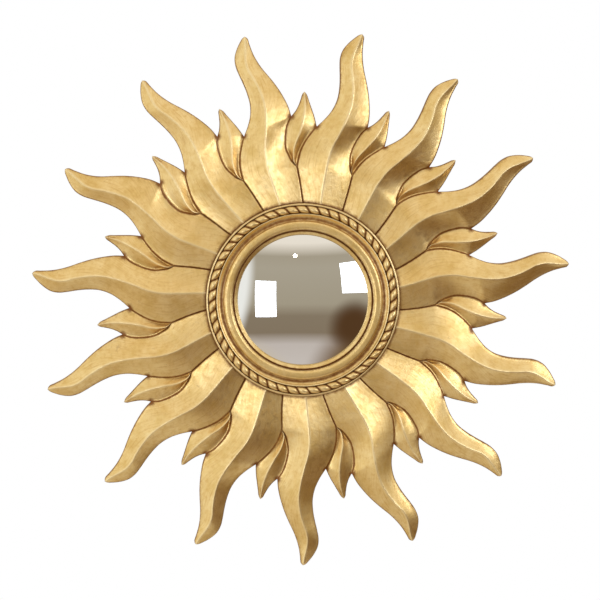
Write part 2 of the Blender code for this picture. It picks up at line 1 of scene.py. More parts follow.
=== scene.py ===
"""Looks for a gilt sunburst wall mirror: carved and gilded rays, a rope-twist ring and a convex glass.

Blender 4.5, metres, +Z up. The mirror's flat back is the wall plane y = 0, its front faces -Y, and the origin
is the centre of the back. Heights are measured from the wall. Sizes and carved lines are the CAD part's own.
"""

import math

import bmesh
import bpy
import numpy as np
from mathutils import Matrix, Vector, noise


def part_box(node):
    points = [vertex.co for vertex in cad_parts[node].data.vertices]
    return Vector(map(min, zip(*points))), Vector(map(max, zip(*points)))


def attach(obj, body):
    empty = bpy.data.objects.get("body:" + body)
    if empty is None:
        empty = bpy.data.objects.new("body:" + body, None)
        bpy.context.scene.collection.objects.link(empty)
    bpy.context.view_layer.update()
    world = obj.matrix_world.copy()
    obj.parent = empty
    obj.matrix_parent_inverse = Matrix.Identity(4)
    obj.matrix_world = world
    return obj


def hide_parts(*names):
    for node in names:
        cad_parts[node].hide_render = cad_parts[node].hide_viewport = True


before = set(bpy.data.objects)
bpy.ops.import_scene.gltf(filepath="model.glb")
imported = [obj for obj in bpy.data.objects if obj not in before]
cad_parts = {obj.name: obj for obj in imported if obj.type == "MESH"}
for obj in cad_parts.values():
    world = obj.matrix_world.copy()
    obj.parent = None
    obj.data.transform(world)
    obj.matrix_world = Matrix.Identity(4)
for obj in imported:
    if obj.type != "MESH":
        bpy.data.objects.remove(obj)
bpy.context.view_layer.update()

MM = 0.001
CLEARANCE = 0.3 * MM

# Radii that the CAD nodes have
RING_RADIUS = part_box("rope_ring")[1].x
GLASS_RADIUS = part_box("mirror_glass")[1].x

# The convex glass
GLASS_THICKNESS = 3 * MM
GLASS_CURVE_RADIUS = 266 * MM
GLASS_EDGE_HEIGHT = 19.7 * MM

# The ring moulding: widths of its members, from the glass outwards
SIGHT_LIP_WIDTH = 3.9 * MM
QUIRK_WIDTH = 1.8 * MM
ROUND_WIDTH = 12.4 * MM
COVE_WIDTH = 4.4 * MM
FILLET_WIDTH = 5.0 * MM
ROPE_WIDTH = 9.0 * MM
OUTER_LIP_WIDTH = 3.9 * MM

# The ring moulding: radii between its members, from the outside inwards
LIP_INNER = RING_RADIUS - OUTER_LIP_WIDTH
ROPE_INNER = LIP_INNER - ROPE_WIDTH
FILLET_INNER = ROPE_INNER - FILLET_WIDTH
COVE_INNER = FILLET_INNER - COVE_WIDTH
ROUND_INNER = COVE_INNER - ROUND_WIDTH
LIP_OUTER = ROUND_INNER - QUIRK_WIDTH
SIGHT_RADIUS = LIP_OUTER - SIGHT_LIP_WIDTH

# The ring moulding: heights of its members
SIGHT_LIP_HEIGHT = 25.6 * MM
SIGHT_LIP_EDGE_HEIGHT = 22.4 * MM
QUIRK_HEIGHT = 24.2 * MM
ROUND_HEIGHT = 32.2 * MM
COVE_HEIGHT = 25.8 * MM
FILLET_HEIGHT = 28.2 * MM
ROPE_BED_HEIGHT = 24.8 * MM
ROPE_HEIGHT = 31.0 * MM
OUTER_LIP_HEIGHT = 27.2 * MM

# The twisted rope
RING_STRANDS = 54
STRAND_SLANT = math.radians(54)
STRAND_DRAW = 1.25                # its grooves slant this much further round than a plain helix's
STRAND_GROOVE_DEPTH = 2.6 * MM
STRAND_PINCH = 0.16               # share of its width that a groove between strands takes
ROPE_SWELL = 0.6 * MM             # how far it swells past its bed on each side
ROPE_WRAP = math.radians(84)      # how far round from its crown its surface is drawn
STRAND_STEPS, ROPE_ACROSS_STEPS = 10, 14

# The sunburst
RAY_COUNT = 15
SUNBURST_RADIUS = 350 * MM
FIRST_RAY_BEARING = math.radians(6)
OPENING_RADIUS = GLASS_RADIUS + 1.0 * MM
SEAT_HEIGHT = 12 * MM
RIDGE_FOOT_HEIGHT = 24 * MM
RIDGE_MIDDLE_HEIGHT = 27 * MM
RIDGE_TIP_HEIGHT = 10 * MM
EDGE_FOOT_HEIGHT = 18 * MM
EDGE_MIDDLE_HEIGHT = 13.5 * MM
EDGE_TIP_HEIGHT = 8.5 * MM
SHORT_RIDGE_FOOT_HEIGHT = 16 * MM
SHORT_RIDGE_MIDDLE_HEIGHT = 19 * MM
SHORT_RIDGE_TIP_HEIGHT = 10 * MM
SHORT_EDGE_FOOT_HEIGHT = 14.5 * MM
SHORT_EDGE_MIDDLE_HEIGHT = 12 * MM
SHORT_EDGE_TIP_HEIGHT = 8.5 * MM
VALLEY_FOOT_HEIGHT = 13 * MM
VALLEY_END_HEIGHT = 9 * MM

# Shares of a long ray's length: a short ray's own reach, and where each height is at its middle value
SHORT_RAY_REACH = 0.63
RIDGE_MIDDLE, EDGE_MIDDLE, VALLEY_MIDDLE = 0.45, 0.5, 0.5
SHORT_RIDGE_MIDDLE, SHORT_EDGE_MIDDLE = 0.38, 0.4

# Faces, shoulders and ridges
FACE_HOLLOW = 0.6 * MM
SHOULDER_ROLL = 2.3 * MM          # width of the rounded shoulder at a ray's boundary
EDGE_ROUNDING = 1.5 * MM          # drop of the shoulder at a free edge
VALLEY_FILL = 3.4 * MM            # gesso that fills a valley's floor
RIDGE_SOFTNESS = 0.75 * MM        # the ridge is crisp, but its gesso rounds it a little
SWAY_DEPTH = 0.2 * MM             # the slow unevenness of hand-cut faces
SWAY_LENGTH = 34 * MM
CUT_EDGE_LINE = 4 * MM            # height of the line along the cut edges where their glaze begins to darken

# Carved lines, each point as (percent of a ray's length out from the ring, percent of the pitch between
# long rays, anticlockwise from the long ray's own bearing). Each valley lies on a long ray's clockwise side.
VALLEY_STEM = ((0, -50.4), (10.5, -44.6), (20.6, -39.2))
VALLEY_BESIDE_LONG = ((20.6, -39.2), (22.9, -32.6), (26.9, -27.5), (31.5, -24.0), (36.3, -24.3),
                      (41.1, -26.4), (45.4, -29.4), (49.6, -34.8))
VALLEY_BESIDE_NEXT = ((20.6, -39.2), (24.2, -41.5), (28.4, -44.7), (33.2, -50.6), (37.7, -57.7),
                      (41.2, -63.7), (43.7, -67.9))
LONG_OUTER_EDGE = ((43.7, 32.1), (48.8, 22.4), (54.2, 15.5), (61.0, 11.6), (67.6, 11.5), (74.4, 13.1),
                   (79.4, 14.7), (84.3, 15.6), (88.7, 14.5), (93.5, 10.3), (97.2, 5.6), (99.4, 2.2), (100, 0.2))
LONG_INNER_EDGE = ((49.6, -34.8), (54.9, -32.3), (61.6, -27.3), (68.0, -21.7), (74.5, -15.3),
                   (79.7, -10.2), (84.9, -6.4), (90.2, -3.9), (95.6, -2.6), (98.9, -1.8), (100, 0.2))
LONG_RIDGE = ((0, 6.7), (17.4, 10.4), (24.5, 10.6), (32, 8.2), (42.2, 0.8), (52.9, -4.3), (59.1, -5.3),
              (66.8, -3.5), (75.1, 0.6), (80.5, 3.9), (85.3, 4.5), (90.5, 2.9), (95.1, 1.1), (100, 0.2))
SHORT_OUTER_EDGE = ((49.6, -34.8), (52.2, -40.0), (55.5, -44.2), (59.4, -47.3), (62.3, -49.5), (63.2, -51.4))
SHORT_INNER_EDGE = ((43.7, -67.9), (49.4, -63.9), (53.9, -60.1), (58.5, -56.4), (61.9, -53.7), (63.2, -51.4))
SHORT_RIDGE = ((20.6, -39.2), (24.1, -33.6), (27.8, -34.1), (32.8, -37.7), (37.9, -43.4), (43.7, -48.1),
               (49.4, -50.9), (55.9, -52.2), (63.2, -51.4))

# The carver's hand: how far each ray leans from its even place, in degrees, and reaches past its even
# length, in percent of that length
LONG_LEANS = (1.4, 1.4, 0.8, -0.7, 0.4, 0.1, 1.1, 0.3, 1.3, 0.6, 0.4, 0.1, 0.4, 0.2, -0.9)
SHORT_LEANS = (0.9, 1.0, 0.6, -0.3, -0.2, -0.1, -1.4, 0.6, 1.3, 0.2, 0.2, 0.4, 0, 0.4, -0.4)
LONG_REACHES = (0, 0, -1.3, -0.4, -2.2, -0.9, -0.9, 0, 0, 0, 0, 0, 0, 0, 0)

# How finely the carving is cut: rows along a ray, and columns across each of its two faces
STEM_ROWS, VALLEY_ROWS, LONG_FREE_ROWS, SHORT_FREE_ROWS = 10, 22, 46, 24
SHOULDER_COLUMNS, FACE_COLUMNS, CREST_COLUMNS = 5, 6, 3
HALF_COLUMNS = SHOULDER_COLUMNS + FACE_COLUMNS + CREST_COLUMNS
CREST_WIDTH = 2.6 * MM

# The brown glaze and painted shade: how far each spreads from where it lies, and how strong it is there
SHOULDER_GLAZE_SHADE_REACH = 0.75 * SHOULDER_ROLL
# The valleys' brown glaze is the carving's own; the dark line along the free edges is painted shade.
VALLEY_STAIN, FREE_EDGE_SHADE = 1.0, 0.85
FOOT_GLAZE_SHADE_REACH, FOOT_GLAZE_SHADE = 1.6 * SHOULDER_ROLL, 0.8      # a painted shadow line, with some brown glaze, where the rays meet the ring
NOTCH_GLAZE_SHADE_REACH, NOTCH_GLAZE_SHADE = 5.5 * MM, 1.15              # brown glaze and painted shade round the notch between two rays
SMUDGE_REACH, SMUDGE_STAIN = 14 * MM, 0.3                    # faint, over the rays' feet
BACK_EDGE_STAIN = 0.8                                        # down the cut edges to the wall
GROOVE_GLAZE_SHADE, ROPE_SIDE_GLAZE_SHADE, ROPE_STAIN = 1.3, 0.95, 0.32  # glaze with painted shade between strands and at its sides; glaze all over
# In the cove and the creases by the rope and in the quirk the brown glaze carries painted shade too; the line
# at the ring's outer radius is a painted shadow where the rays meet it.
RING_GLAZE_SHADES = ((FILLET_INNER - 0.5 * COVE_WIDTH, 2.9 * MM, 0.9), (ROPE_INNER, 1.2 * MM, 1.0),
               (LIP_OUTER + 0.55 * QUIRK_WIDTH, 1.7 * MM, 1.0), (LIP_INNER, 1.5 * MM, 1.0),
               (RING_RADIUS, 1.1 * MM, 1.0))     # each a radius, a reach and a strength

# Where handling has rubbed the gilding pale, with a painted highlight on the same ridges, strand crowns and
# ring lines
RUBBED_HIGHLIT_CREST_REACH = 0.6 * CREST_WIDTH
RUBBED_HIGHLIT_STRAND = 0.5
RUBBED_HIGHLIT_RING_LINES, RUBBED_HIGHLIT_LINE_REACH = (RING_RADIUS - 2.0 * MM, ROPE_INNER - 1.5 * MM), 0.7 * MM

# The hanger's pocket in the back
PLATE_DISTANCE = 134 * MM         # of its middle above the mirror's centre
PLATE_LENGTH, PLATE_WIDTH = 46 * MM, 16 * MM
POCKET_DEPTH = 2.6 * MM
HOLLOW_LENGTH, HOLLOW_WIDTH, HOLLOW_DEPTH = 20 * MM, 11 * MM, 6 * MM
SCREW_SPACING, SCREW_HOLE_RADIUS, SCREW_HOLE_DEPTH = 34 * MM, 1.9 * MM, 10.6 * MM

PITCH = 2 * math.pi / RAY_COUNT
RECESS_RADIUS = (RING_RADIUS + CLEARANCE) / math.cos(PITCH / 7)


def at(radius, bearing, height):
    """A point at a radius and bearing round the mirror's axis, and a height from the wall."""
    return Vector((radius * math.cos(bearing), -height, radius * math.sin(bearing)))


def eased(share):
    """A share from 0 to 1 with a soft start and end."""
    share = min(max(share, 0), 1)
    return share * share * (3 - 2 * share)


def faded(distance, reach):
    """A strength of 1 that fades away over a reach."""
    return math.exp(-(distance / reach) ** 2)


def ray_point(reach, turn):
    """A carved line's point on the ray's own plane, with its bearing along +x."""
    radius = RECESS_RADIUS + reach / 100 * (SUNBURST_RADIUS - RECESS_RADIUS)
    bearing = turn / 100 * PITCH
    return radius * math.cos(bearing), radius * math.sin(bearing)


def curve_through(line, pieces, fine_steps=400):
    """Points that part one smooth curve through a carved line's points into pieces of equal length."""
    points = np.array([ray_point(*point) for point in line])
    knots = np.concatenate([[0], np.cumsum(np.linalg.norm(np.diff(points, axis=0), axis=1))])
    slopes = np.gradient(points, knots, axis=0)
    along = np.linspace(0, knots[-1], fine_steps)
    first = np.clip(np.searchsorted(knots, along, side="right") - 1, 0, len(knots) - 2)
    span = (knots[first + 1] - knots[first])[:, None]
    t = (along - knots[first])[:, None] / span
    curve = ((2 * t**3 - 3 * t**2 + 1) * points[first] + (t**3 - 2 * t**2 + t) * span * slopes[first]
             + (3 * t**2 - 2 * t**3) * points[first + 1] + (t**3 - t**2) * span * slopes[first + 1])
    run = np.concatenate([[0], np.cumsum(np.linalg.norm(np.diff(curve, axis=0), axis=1))])
    marks = np.linspace(0, run[-1], pieces + 1)
    return np.stack([np.interp(marks, run, curve[:, axis]) for axis in (0, 1)], axis=1)


def turned(points, rays):
    """The points turned on by a number of long rays' pitches."""
    angle = rays * PITCH
    cos, sin = math.cos(angle), math.sin(angle)
    x, y = points.T
    return np.stack([x * cos - y * sin, x * sin + y * cos], axis=1)


def swept_height(radius, foot, middle, tip, middle_reach, tip_reach):
    """A height that runs from a ray's foot to its middle and down to its tip, by the radius."""
    reach = (radius - RECESS_RADIUS) / (SUNBURST_RADIUS - RECESS_RADIUS)
    if reach < middle_reach:
        return foot + (middle - foot) * eased(reach / middle_reach)
    fall = max(reach - middle_reach, 0) / (tip_reach - middle_reach)
    return middle + (tip - middle) * fall ** 1.5


def between_leans(bearing):
    """The lean and the reach of the carver's hand at a bearing, eased from one ray to the next."""
    place = ((bearing - FIRST_RAY_BEARING) / PITCH) % RAY_COUNT
    half_steps = place * 2
    low = int(half_steps)
    blend = eased(half_steps - low)
    leans, reaches = [], []
    for step in (low, low + 1):
        ray = math.ceil(step / 2) % RAY_COUNT
        is_long = step % 2 == 0
        leans.append((LONG_LEANS if is_long else SHORT_LEANS)[ray])
        reaches.append(LONG_REACHES[ray] if is_long else 0)
    lean = leans[0] + (leans[1] - leans[0]) * blend
    reach = reaches[0] + (reaches[1] - reaches[0]) * blend
    return math.radians(lean), reach / 100 * (SUNBURST_RADIUS - RECESS_RADIUS)


def hand_carved(x, y):
    """Where the carver's hand puts a point of the even pattern, as a radius and a bearing."""
    radius, bearing = math.hypot(x, y), math.atan2(y, x)
    lean, reach = between_leans(bearing)
    outwards = (radius - RECESS_RADIUS) / (SUNBURST_RADIUS - RECESS_RADIUS)
    return radius + reach * eased(outwards), bearing + lean * eased(4 * outwards)


def shoulder_width(width):
    """How wide the rolled shoulder is on a ray's face of a width: narrower where the face is."""
    return min(SHOULDER_ROLL, 0.45 * width)


def column_place(column, width):
    """How far in from a ray's boundary a column runs: close together on the shoulder and by the ridge."""
    roll = shoulder_width(width)
    crest = min(CREST_WIDTH, 0.25 * (width - roll))
    if column <= SHOULDER_COLUMNS:
        return roll * (column / SHOULDER_COLUMNS) ** 1.4
    if column <= SHOULDER_COLUMNS + FACE_COLUMNS:
        return roll + (width - roll - crest) * (column - SHOULDER_COLUMNS) / FACE_COLUMNS
    left = (HALF_COLUMNS - column) / CREST_COLUMNS
    return width - crest * left ** 1.5


def section_height(inward, width, low, high, ridge, slope):
    """A ray's height at a distance in from its boundary: rolled shoulder, hollow face, soft ridge."""
    roll = shoulder_width(width)
    share = max(inward - roll, 0) / (width - roll)
    hollow = 4 * FACE_HOLLOW * eased(width / (8 * SHOULDER_ROLL)) * share * (1 - share)
    face = high + (ridge - high) * share - hollow
    drop = (high - low) * max(1 - inward / roll, 0) ** 2.2
    softened = slope * RIDGE_SOFTNESS * math.exp(-(width - inward) / RIDGE_SOFTNESS)
    return face - drop - softened * share


def carve_ray(bm, left, right, ridge, grooved, ridge_height, edge_height):
    """Skin one ray: a grid moved onto the carved form. grooved is how many first rows lie between valleys."""
    glaze_and_shade = bm.verts.layers.float["hollow"]
    crest = bm.verts.layers.float["crest"]
    uv = bm.loops.layers.uv["carving"]
    ridge_radii = np.linalg.norm(ridge, axis=1)
    ridge_bearings = np.unwrap(np.arctan2(ridge[:, 1], ridge[:, 0]))
    order = np.argsort(ridge_radii)
    last = len(left) - 1
    made = bmesh.ops.create_grid(bm, x_segments=2 * HALF_COLUMNS, y_segments=last, size=0.5)["verts"]
    place = {vertex: (round((vertex.co.x + 0.5) * 2 * HALF_COLUMNS), round((vertex.co.y + 0.5) * last))
             for vertex in made}
    notches = (left[grooved - 1], right[grooved - 1])
    rows = []
    for row, (a, b) in enumerate(zip(left, right)):
        radius = (np.linalg.norm(a) + np.linalg.norm(b)) / 2
        bearing = np.interp(radius, ridge_radii[order], ridge_bearings[order])
        top = np.array((radius * math.cos(bearing), radius * math.sin(bearing)))
        if np.allclose(a, b):
            top = a
        rows.append((a, b, top, radius))
    laid = {}
    for vertex, (column, row) in place.items():
        a, b, top, radius = rows[row]
        side = a if column <= HALF_COLUMNS else b
        step = min(column, 2 * HALF_COLUMNS - column)
        widths = [max(np.linalg.norm(top - p), 1e-6) for p in (a, b)]
        width = widths[0] if column <= HALF_COLUMNS else widths[1]
        inward = column_place(step, width)
        share = inward / width
        point = side + (top - side) * share
        if radius < RECESS_RADIUS * 1.001:
            point = point * RECESS_RADIUS / np.linalg.norm(point)
        high, crown = edge_height(radius), ridge_height(radius)
        in_valley = row < grooved
        low = floor_height(np.linalg.norm(side)) if in_valley else high - EDGE_ROUNDING
        if min(widths) < 1e-5:
            height, inward = low, 0
        else:
            slope = sum((crown - high) / w for w in widths) / 2
            height = section_height(inward, width, low, high, crown, slope)
        x, y = point
        height += surface_sway(x, y) * eased(inward / (4 * SHOULDER_ROLL))
        vertex.co = at(*hand_carved(x, y), height)
        from_ring = radius - RECESS_RADIUS
        from_notch = min(np.linalg.norm(point - notch) for notch in notches)
        # Brown glaze in the valleys, round the notch and over the feet; painted shade along the free edges, at
        # the notch and as a shadow line where the rays meet the ring.
        vertex[glaze_and_shade] = max(
            (VALLEY_STAIN if in_valley else FREE_EDGE_SHADE) * faded(inward, SHOULDER_GLAZE_SHADE_REACH),
            FOOT_GLAZE_SHADE * faded(from_ring, FOOT_GLAZE_SHADE_REACH),
            NOTCH_GLAZE_SHADE * faded(from_notch, NOTCH_GLAZE_SHADE_REACH),
            SMUDGE_STAIN * faded(from_ring, SMUDGE_REACH))
        # Rubbed pale along the ridge, with a painted highlight on it.
        vertex[crest] = faded(width - inward, RUBBED_HIGHLIT_CREST_REACH)
        laid[vertex] = ((inward if column <= HALF_COLUMNS else sum(widths) - inward), radius)
    for face in {face for vertex in made for face in vertex.link_faces}:
        for loop in face.loops:
            loop[uv].uv = laid[loop.vert]


def surface_sway(x, y):
    """The slow unevenness of hand-cut faces."""
    return SWAY_DEPTH * noise.noise(Vector((x, y, 0)) / SWAY_LENGTH)


def floor_height(radius):
    """A valley's floor, which falls from the ring to the valley's open end."""
    carved = swept_height(radius, VALLEY_FOOT_HEIGHT, VALLEY_END_HEIGHT, VALLEY_END_HEIGHT, VALLEY_MIDDLE, 1)
    return VALLEY_FILL + carved


def valley_lines(ray):
    """The valley on a long ray's clockwise side: its stem, and its two arms round the short ray."""
    lines = (curve_through(VALLEY_STEM, STEM_ROWS), curve_through(VALLEY_BESIDE_LONG, VALLEY_ROWS),
             curve_through(VALLEY_BESIDE_NEXT, VALLEY_ROWS))
    return [turned(line, ray) for line in lines]


def long_ray(bm, ray):
    """One long ray, from the ring to its tip."""
    stem, beside, _ = valley_lines(ray)
    next_stem, _, beside_next = valley_lines(ray + 1)
    inner_edge = turned(curve_through(LONG_INNER_EDGE, LONG_FREE_ROWS), ray)
    outer_edge = turned(curve_through(LONG_OUTER_EDGE, LONG_FREE_ROWS), ray)
    left = np.concatenate([next_stem, beside_next[1:], outer_edge[1:]])
    right = np.concatenate([stem, beside[1:], inner_edge[1:]])
    ridge = turned(curve_through(LONG_RIDGE, 400), ray)
    carve_ray(bm, left, right, ridge, STEM_ROWS + VALLEY_ROWS + 1,
              lambda r: swept_height(r, RIDGE_FOOT_HEIGHT, RIDGE_MIDDLE_HEIGHT, RIDGE_TIP_HEIGHT,
                                     RIDGE_MIDDLE, 1),
              lambda r: swept_height(r, EDGE_FOOT_HEIGHT, EDGE_MIDDLE_HEIGHT, EDGE_TIP_HEIGHT, EDGE_MIDDLE, 1))


def short_ray(bm, ray):
    """The short ray on a long ray's clockwise side, leaf-shaped, lower than the long rays."""
    _, beside, beside_next = valley_lines(ray)
    outer_edge = turned(curve_through(SHORT_OUTER_EDGE, SHORT_FREE_ROWS), ray)
    inner_edge = turned(curve_through(SHORT_INNER_EDGE, SHORT_FREE_ROWS), ray)
    left = np.concatenate([beside, outer_edge[1:]])
    right = np.concatenate([beside_next, inner_edge[1:]])
    ridge = turned(curve_through(SHORT_RIDGE, 400), ray)
    carve_ray(bm, left, right, ridge, VALLEY_ROWS + 1,
              lambda r: swept_height(r, SHORT_RIDGE_FOOT_HEIGHT, SHORT_RIDGE_MIDDLE_HEIGHT,
                                     SHORT_RIDGE_TIP_HEIGHT, SHORT_RIDGE_MIDDLE, SHORT_RAY_REACH),
              lambda r: swept_height(r, SHORT_EDGE_FOOT_HEIGHT, SHORT_EDGE_MIDDLE_HEIGHT,
                                     SHORT_EDGE_TIP_HEIGHT, SHORT_EDGE_MIDDLE, SHORT_RAY_REACH))


def drop_edges(bm, edges, height):
    """Pull the edges' copies straight back to a height from the wall, and give the new edges."""
    made = bmesh.ops.extrude_edge_only(bm, edges=edges)["geom"]
    for vertex in (part for part in made if isinstance(part, bmesh.types.BMVert)):
        vertex.co.y = -height
    return [part for part in made if isinstance(part, bmesh.types.BMEdge) and all(
        math.isclose(vertex.co.y, -height, abs_tol=1e-7) for vertex in part.verts)]


def slot_loop(bm, length, width, height, middle=0.0):
    """A closed loop of edges with round ends, about the hanger's place, at a height from the wall."""
    steps = 40
    made = bmesh.ops.create_circle(bm, segments=steps, radius=width / 2,
                                   matrix=Matrix.Rotation(math.pi / steps, 4, "Z"))["verts"]
    for vertex in made:
        across = vertex.co.x + math.copysign((length - width) / 2, vertex.co.x)
        vertex.co = (middle + across, -height, PLATE_DISTANCE + vertex.co.y)
    return list({edge for vertex in made for edge in vertex.link_edges})


def hanger_pocket(bm):
    """The pocket for the keyhole plate, with the hollow and the screws' holes in it; gives its mouth."""
    mouth = slot_loop(bm, PLATE_LENGTH + 2 * CLEARANCE, PLATE_WIDTH + 2 * CLEARANCE, 0)
    floor = drop_edges(bm, mouth, POCKET_DEPTH)
    wells = [(slot_loop(bm, HOLLOW_LENGTH, HOLLOW_WIDTH, POCKET_DEPTH), HOLLOW_DEPTH)]
    for side in (-1, 1):
        wells.append((slot_loop(bm, 2 * SCREW_HOLE_RADIUS, 2 * SCREW_HOLE_RADIUS, POCKET_DEPTH,
                                side * SCREW_SPACING / 2), SCREW_HOLE_DEPTH))
    for well, _ in wells:
        floor += well
    bmesh.ops.triangle_fill(bm, use_beauty=True, edges=floor)
    for well, depth in wells:
        bmesh.ops.triangle_fill(bm, use_beauty=True, edges=drop_edges(bm, well, depth))
    return mouth


def in_pocket(face):
    """Whether a face is part of the hanger's pocket."""
    middle = face.calc_center_median()
    return (-middle.y < SCREW_HOLE_DEPTH + CLEARANCE and abs(middle.x) < PLATE_LENGTH / 2 + 1 * MM
            and abs(middle.z - PLATE_DISTANCE) < PLATE_WIDTH / 2 + 1 * MM)


def linear(hex_colour):
    """An sRGB hex colour as linear RGBA."""
    channels = [int(hex_colour[i:i + 2], 16) / 255 for i in (1, 3, 5)]
    return (*[c / 12.92 if c <= 0.04045 else ((c + 0.055) / 1.055) ** 2.4 for c in channels], 1)


def add(tree, kind, inputs=(), **settings):
    """Add a node, with its settings, and its inputs linked from sockets or set to values."""
    node = tree.nodes.new(kind)
    for name, value in settings.items():
        setattr(node, name, value)
    for name, value in dict(inputs).items():
        if isinstance(value, bpy.types.NodeSocket):
            tree.links.new(value, node.inputs[name])
        else:
            node.inputs[name].default_value = value
    return node


def new_material(name):
    """An empty material with its Principled shader and node tree."""
    made = bpy.data.materials.new(name)
    made.use_nodes = True
    return made, made.node_tree, made.node_tree.nodes["Principled BSDF"]


def per_mm(size):
    """The scale that gives a pattern features of a size in millimetres."""
    return 1 / (size * MM)


def ramp(tree, factor, *stops):
    """A colour ramp through (place, colour) stops."""
    node = add(tree, "ShaderNodeValToRGB", {"Fac": factor})
    elements = node.color_ramp.elements
    for element, (place, colour) in zip(elements, (stops[0], stops[-1])):
        element.position, element.color = place, colour
    for place, colour in stops[1:-1]:
        elements.new(place).color = colour
    return node.outputs["Color"]


def mixed(tree, factor, first, second, blend="MIX"):
    """Two colours mixed by a factor."""
    node = add(tree, "ShaderNodeMix", data_type="RGBA", blend_type=blend)
    for place, value in ((0, factor), (6, first), (7, second)):
        if isinstance(value, bpy.types.NodeSocket):
            tree.links.new(value, node.inputs[place])
        else:
            node.inputs[place].default_value = value
    return node.outputs[2]


def between(tree, value, low, high, to_low=0.0, to_high=1.0, soft=False):
    """A value's place between two limits, mapped to two others."""
    settings = {"interpolation_type": "SMOOTHSTEP"} if soft else {}
    limits = {"From Min": low, "From Max": high, "To Min": to_low, "To Max": to_high}
    return add(tree, "ShaderNodeMapRange", {"Value": value, **limits}, **settings).outputs[0]


def computed(tree, operation, *values):
    """The result of one arithmetic operation on sockets and values."""
    return add(tree, "ShaderNodeMath", dict(enumerate(values)), operation=operation).outputs[0]


def mottle(tree, place, size, detail, roughness=0.5, distortion=0.0):
    """The value of a noise whose features have a size in millimetres."""
    return add(tree, "ShaderNodeTexNoise", {"Vector": place, "Scale": per_mm(size), "Detail": detail,
                                            "Roughness": roughness, "Distortion": distortion}).outputs["Fac"]


def stretched(tree, place, *scale):
    """A place stretched along its axes, so that patterns on it run as grain or scratches."""
    return add(tree, "ShaderNodeMapping", {"Vector": place, "Scale": scale}).outputs["Vector"]


def bumped(tree, height, depth, strength, below=None):
    """The normal of a surface that a pattern raises by a depth, over the bumps below it."""
    inputs = {"Height": height, "Distance": depth, "Strength": strength}
    if below:
        inputs["Normal"] = below
    return add(tree, "ShaderNodeBump", inputs).outputs["Normal"]


def gilding():
    """Imitation gold leaf on gesso over wood: a warm satin metal, mottled where leaves overlap, brushed along
    the rays, rubbed pale along the ridges with a painted highlight there, with brown glaze and painted shade in
    the hollows, and brown glaze in small pits and in smudges."""
    made, tree, shader = new_material("gold_leaf_on_gesso")
    place = add(tree, "ShaderNodeTexCoord").outputs["Object"]
    carving = add(tree, "ShaderNodeUVMap", uv_map="carving").outputs["UV"]
    hollow = add(tree, "ShaderNodeAttribute", attribute_name="hollow").outputs["Fac"]
    crest = add(tree, "ShaderNodeAttribute", attribute_name="crest").outputs["Fac"]
    leaf = mottle(tree, place, 26, 4, 0.6)
    cloud = mottle(tree, place, 6, 5, 0.68)
    smudge = mottle(tree, place, 13, 6, 0.7, 0.6)
    grit = mottle(tree, place, 1.7, 3)
    streak = mottle(tree, stretched(tree, carving, 1, 0.07, 1), 1.9, 4, 0.6)

    gold = ramp(tree, leaf, (0.34, linear("#E5C176")), (0.5, linear("#F0CE88")), (0.66, linear("#F7D896")))
    gold = mixed(tree, between(tree, cloud, 0.5, 0.7, 0, 0.4), gold, linear("#D2A450"))
    gold = mixed(tree, between(tree, cloud, 0.48, 0.3, 0, 0.2), gold, linear("#FCE5AC"))
    gold = mixed(tree, between(tree, streak, 0.5, 0.72, 0, 0.45), gold, linear("#C4923E"))
    # A painted highlight on the rubbed ridges, strand crowns and ring lines.
    gold = mixed(tree, computed(tree, "MULTIPLY", crest, 0.55), gold, linear("#FFEBBA"))

    # Brown glaze with painted shade where the hollow attribute lies, broken by the cloud.
    broken = computed(tree, "SUBTRACT", cloud, 0.5)
    glaze_shade = between(tree, computed(tree, "MULTIPLY_ADD", broken, 0.8, hollow), 0.2, 1.0, soft=True)
    pits = between(tree, grit, 0.7, 0.76, 0, 0.5)
    worn = between(tree, smudge, 0.62, 0.75, 0, 0.36)
    dirt_and_shade = computed(tree, "MAXIMUM", computed(tree, "MAXIMUM", glaze_shade, pits), worn)
    off_crest = computed(tree, "SUBTRACT", 1.0, computed(tree, "MULTIPLY", crest, 0.7))
    dirt_and_shade = computed(tree, "MULTIPLY", dirt_and_shade, off_crest)
    # One brown for the glaze, the pits, the smudges and the painted shade.
    tree.links.new(mixed(tree, dirt_and_shade, gold, linear("#875214")), shader.inputs["Base Color"])
    tree.links.new(between(tree, dirt_and_shade, 0, 1, 1.0, 0.75), shader.inputs["Metallic"])

    rough = computed(tree, "SUBTRACT", between(tree, cloud, 0.3, 0.7, 0.28, 0.42), 0.04)
    rough = computed(tree, "MULTIPLY_ADD", streak, 0.10, rough)
    rough = computed(tree, "MULTIPLY_ADD", dirt_and_shade, 0.18, rough)
    tree.links.new(rough, shader.inputs["Roughness"])
    shader.inputs["Coat Weight"].default_value = 0.5
    shader.inputs["Coat Roughness"].default_value = 0.3

    swell = bumped(tree, cloud, 0.42 * MM, 0.5)
    brushed = bumped(tree, streak, 0.12 * MM, 0.5, swell)
    tree.links.new(bumped(tree, grit, 0.06 * MM, 0.6, brushed), shader.inputs["Normal"])
    return made


def bare_back():
    """The sunburst's back: soft wood washed over with thin ochre-brown paint, so the grain shows through."""
    made, tree, shader = new_material("ochre_washed_softwood")
    place = add(tree, "ShaderNodeTexCoord").outputs["Object"]
    grain = mottle(tree, stretched(tree, place, 1, 1, 0.06), 5, 6, 0.7)
    wood = ramp(tree, grain, (0.35, linear("#8A6538")), (0.65, linear("#B08A56")))
    colour = mixed(tree, mottle(tree, place, 45, 4), wood, linear("#9C7640"))
    tree.links.new(colour, shader.inputs["Base Color"])
    shader.inputs["Roughness"].default_value = 0.72
    tree.links.new(bumped(tree, grain, 0.3 * MM, 0.5), shader.inputs["Normal"])
    return made


